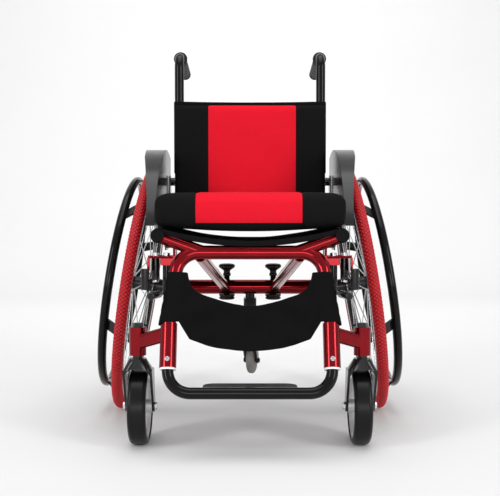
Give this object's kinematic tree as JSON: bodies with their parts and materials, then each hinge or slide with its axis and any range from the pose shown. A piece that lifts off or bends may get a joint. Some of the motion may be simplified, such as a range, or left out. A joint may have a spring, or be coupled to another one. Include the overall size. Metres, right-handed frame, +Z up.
{
  "type": "manual wheelchair",
  "caption": "Rigid active manual wheelchair with cambered spoked wheels and handrims, swivel casters, padded seat, folding back, calf strap, tube footrest and rear anti-tip wheel.",
  "frame": {"origin": "on the floor under the middle of the bounding box", "axes": "+Z up, -Y towards the front the user faces, +X towards the user's left"},
  "size_m": [0.6894, 0.7787, 0.8511],
  "materials": {
    "red_frame": "candy red anodised, glossy",
    "black_frame": "gloss black",
    "black_metal": "satin black",
    "black_plastic": "semi-gloss black",
    "grey_plastic": "glossy dark grey",
    "white_plastic": "white",
    "black_fabric": "black woven",
    "cushion_fabric": "black mesh with a red centre panel",
    "grip_rubber": "matte black",
    "grey_rubber": "matte grey",
    "red_tyre": "red with a knurled tread",
    "black_tyre": "smooth black",
    "rim": "black with machined edges",
    "silver_rim": "silver white",
    "hub_metal": "satin",
    "handrim_black": "gloss black",
    "spoke_steel": "dark",
    "steel": "bright zinc"
  },
  "bodies": {
    "frame": {"front_frame": "red_frame", "seat_rail_left": "red_frame", "seat_rail_right": "red_frame", "rail_caps": "black_plastic", "camber_tube": "red_frame", "frame_braces": "red_frame", "brace_knobs": "black_plastic", "axle_plates": "red_frame", "camber_plugs": "black_metal", "axle_pins": "steel", "seat_sling": "black_fabric", "seat_straps": "black_fabric", "seat_cushion": "cushion_fabric", "side_guard_left": "grey_plastic", "side_guard_right": "grey_plastic", "frame_bolts": "steel", "calf_strap": "black_fabric", "footrest_bushes": "white_plastic", "caster_housing_left": "red_frame", "caster_housing_right": "red_frame", "caster_bearings": "steel", "brake_brackets": "red_frame", "brake_pivots": "steel", "backrest_brackets": "black_metal", "hinge_pins": "steel", "anti_tip_post": "black_metal"},
    "backrest": {"backrest_frame": "black_frame", "backrest_sling": "black_fabric", "backrest_pad": "cushion_fabric", "push_grips": "grip_rubber"},
    "footrest": {"footrest_tube": "black_frame", "footplate": "black_plastic"},
    "wheel_left": {"rear_tyre_left": "red_tyre", "rear_rim_left": "rim", "rear_spokes_left": "spoke_steel", "rear_hub_left": "hub_metal", "handrim_left": "handrim_black", "handrim_tabs_left": "handrim_black"},
    "button_left": {"axle_button_left": "steel"},
    "caster_fork_left": {"caster_fork_left": "black_metal", "caster_axle_left": "steel"},
    "caster_wheel_left": {"caster_tyre_left": "black_tyre", "caster_hub_left": "silver_rim"},
    "brake_lever_left": {"brake_lever_left": "black_metal"},
    "brake_shoe_left": {"brake_shoe_left": "black_metal"},
    "wheel_right": {"rear_tyre_right": "red_tyre", "rear_rim_right": "rim", "rear_spokes_right": "spoke_steel", "rear_hub_right": "hub_metal", "handrim_right": "handrim_black", "handrim_tabs_right": "handrim_black"},
    "button_right": {"axle_button_right": "steel"},
    "caster_fork_right": {"caster_fork_right": "black_metal", "caster_axle_right": "steel"},
    "caster_wheel_right": {"caster_tyre_right": "black_tyre", "caster_hub_right": "silver_rim"},
    "brake_lever_right": {"brake_lever_right": "black_metal"},
    "brake_shoe_right": {"brake_shoe_right": "black_metal"},
    "anti_tip_fork": {"anti_tip_fork": "black_metal"},
    "anti_tip_wheel": {"anti_tip_wheel": "grey_rubber"}
  },
  "joints": [
    {"name": "wheel_spin_left", "type": "hinge", "parent": "frame", "child": "wheel_left", "pos_m": [0.25824, 0.09436, 0.2919], "axis": [0.989, 0, 0.1478], "continuous": true},
    {"name": "button_press_left", "type": "slide", "parent": "frame", "child": "button_left", "axis": [-0.989, 0, -0.1478], "range_m": [0, 0.003], "stiffness_N_per_m": 300, "springref_m": -0.002},
    {"name": "caster_swivel_left", "type": "hinge", "parent": "frame", "child": "caster_fork_left", "pos_m": [0.218, -0.29364, 0.205], "axis": [0, 0, 1], "continuous": true},
    {"name": "caster_roll_left", "type": "hinge", "parent": "caster_fork_left", "child": "caster_wheel_left", "pos_m": [0.218, -0.25764, 0.075], "axis": [1, 0, 0], "continuous": true},
    {"name": "brake_lever_turn_left", "type": "hinge", "parent": "frame", "child": "brake_lever_left", "pos_m": [0.165, -0.25364, 0.33], "axis": [0, 0, 1], "range_deg": [0, 90]},
    {"name": "brake_shoe_turn_left", "type": "hinge", "parent": "frame", "child": "brake_shoe_left", "pos_m": [0.188, -0.24364, 0.34], "axis": [0, 0, 1], "range_deg": [0, 108]},
    {"name": "wheel_spin_right", "type": "hinge", "parent": "frame", "child": "wheel_right", "pos_m": [-0.25824, 0.09436, 0.2919], "axis": [0.989, 0, -0.1478], "continuous": true},
    {"name": "button_press_right", "type": "slide", "parent": "frame", "child": "button_right", "axis": [0.989, 0, -0.1478], "range_m": [0, 0.003], "stiffness_N_per_m": 300, "springref_m": -0.002},
    {"name": "caster_swivel_right", "type": "hinge", "parent": "frame", "child": "caster_fork_right", "pos_m": [-0.218, -0.29364, 0.205], "axis": [0, 0, 1], "continuous": true},
    {"name": "caster_roll_right", "type": "hinge", "parent": "caster_fork_right", "child": "caster_wheel_right", "pos_m": [-0.218, -0.25764, 0.075], "axis": [1, 0, 0], "continuous": true},
    {"name": "brake_lever_turn_right", "type": "hinge", "parent": "frame", "child": "brake_lever_right", "pos_m": [-0.165, -0.25364, 0.33], "axis": [0, 0, -1], "range_deg": [0, 90]},
    {"name": "brake_shoe_turn_right", "type": "hinge", "parent": "frame", "child": "brake_shoe_right", "pos_m": [-0.188, -0.24364, 0.34], "axis": [0, 0, -1], "range_deg": [0, 108]},
    {"name": "backrest_fold", "type": "hinge", "parent": "frame", "child": "backrest", "pos_m": [0, 0.13236, 0.535], "axis": [1, 0, 0], "range_deg": [0, 88]},
    {"name": "footrest_height", "type": "slide", "parent": "frame", "child": "footrest", "axis": [0, -0.342, -0.9397], "range_m": [0, 0.025]},
    {"name": "anti_tip_swivel", "type": "hinge", "parent": "frame", "child": "anti_tip_fork", "pos_m": [0, 0.29936, 0.13], "axis": [0, 0, 1], "continuous": true},
    {"name": "anti_tip_roll", "type": "hinge", "parent": "anti_tip_fork", "child": "anti_tip_wheel", "pos_m": [0.00484, 0.31877, 0.072], "axis": [0.9703, -0.2419, 0], "continuous": true}
  ],
  "couplings": [
    {"joint": "brake_shoe_turn_left", "follows": "brake_lever_turn_left", "ratio": 1.2},
    {"joint": "brake_shoe_turn_right", "follows": "brake_lever_turn_right", "ratio": 1.2}
  ]
}
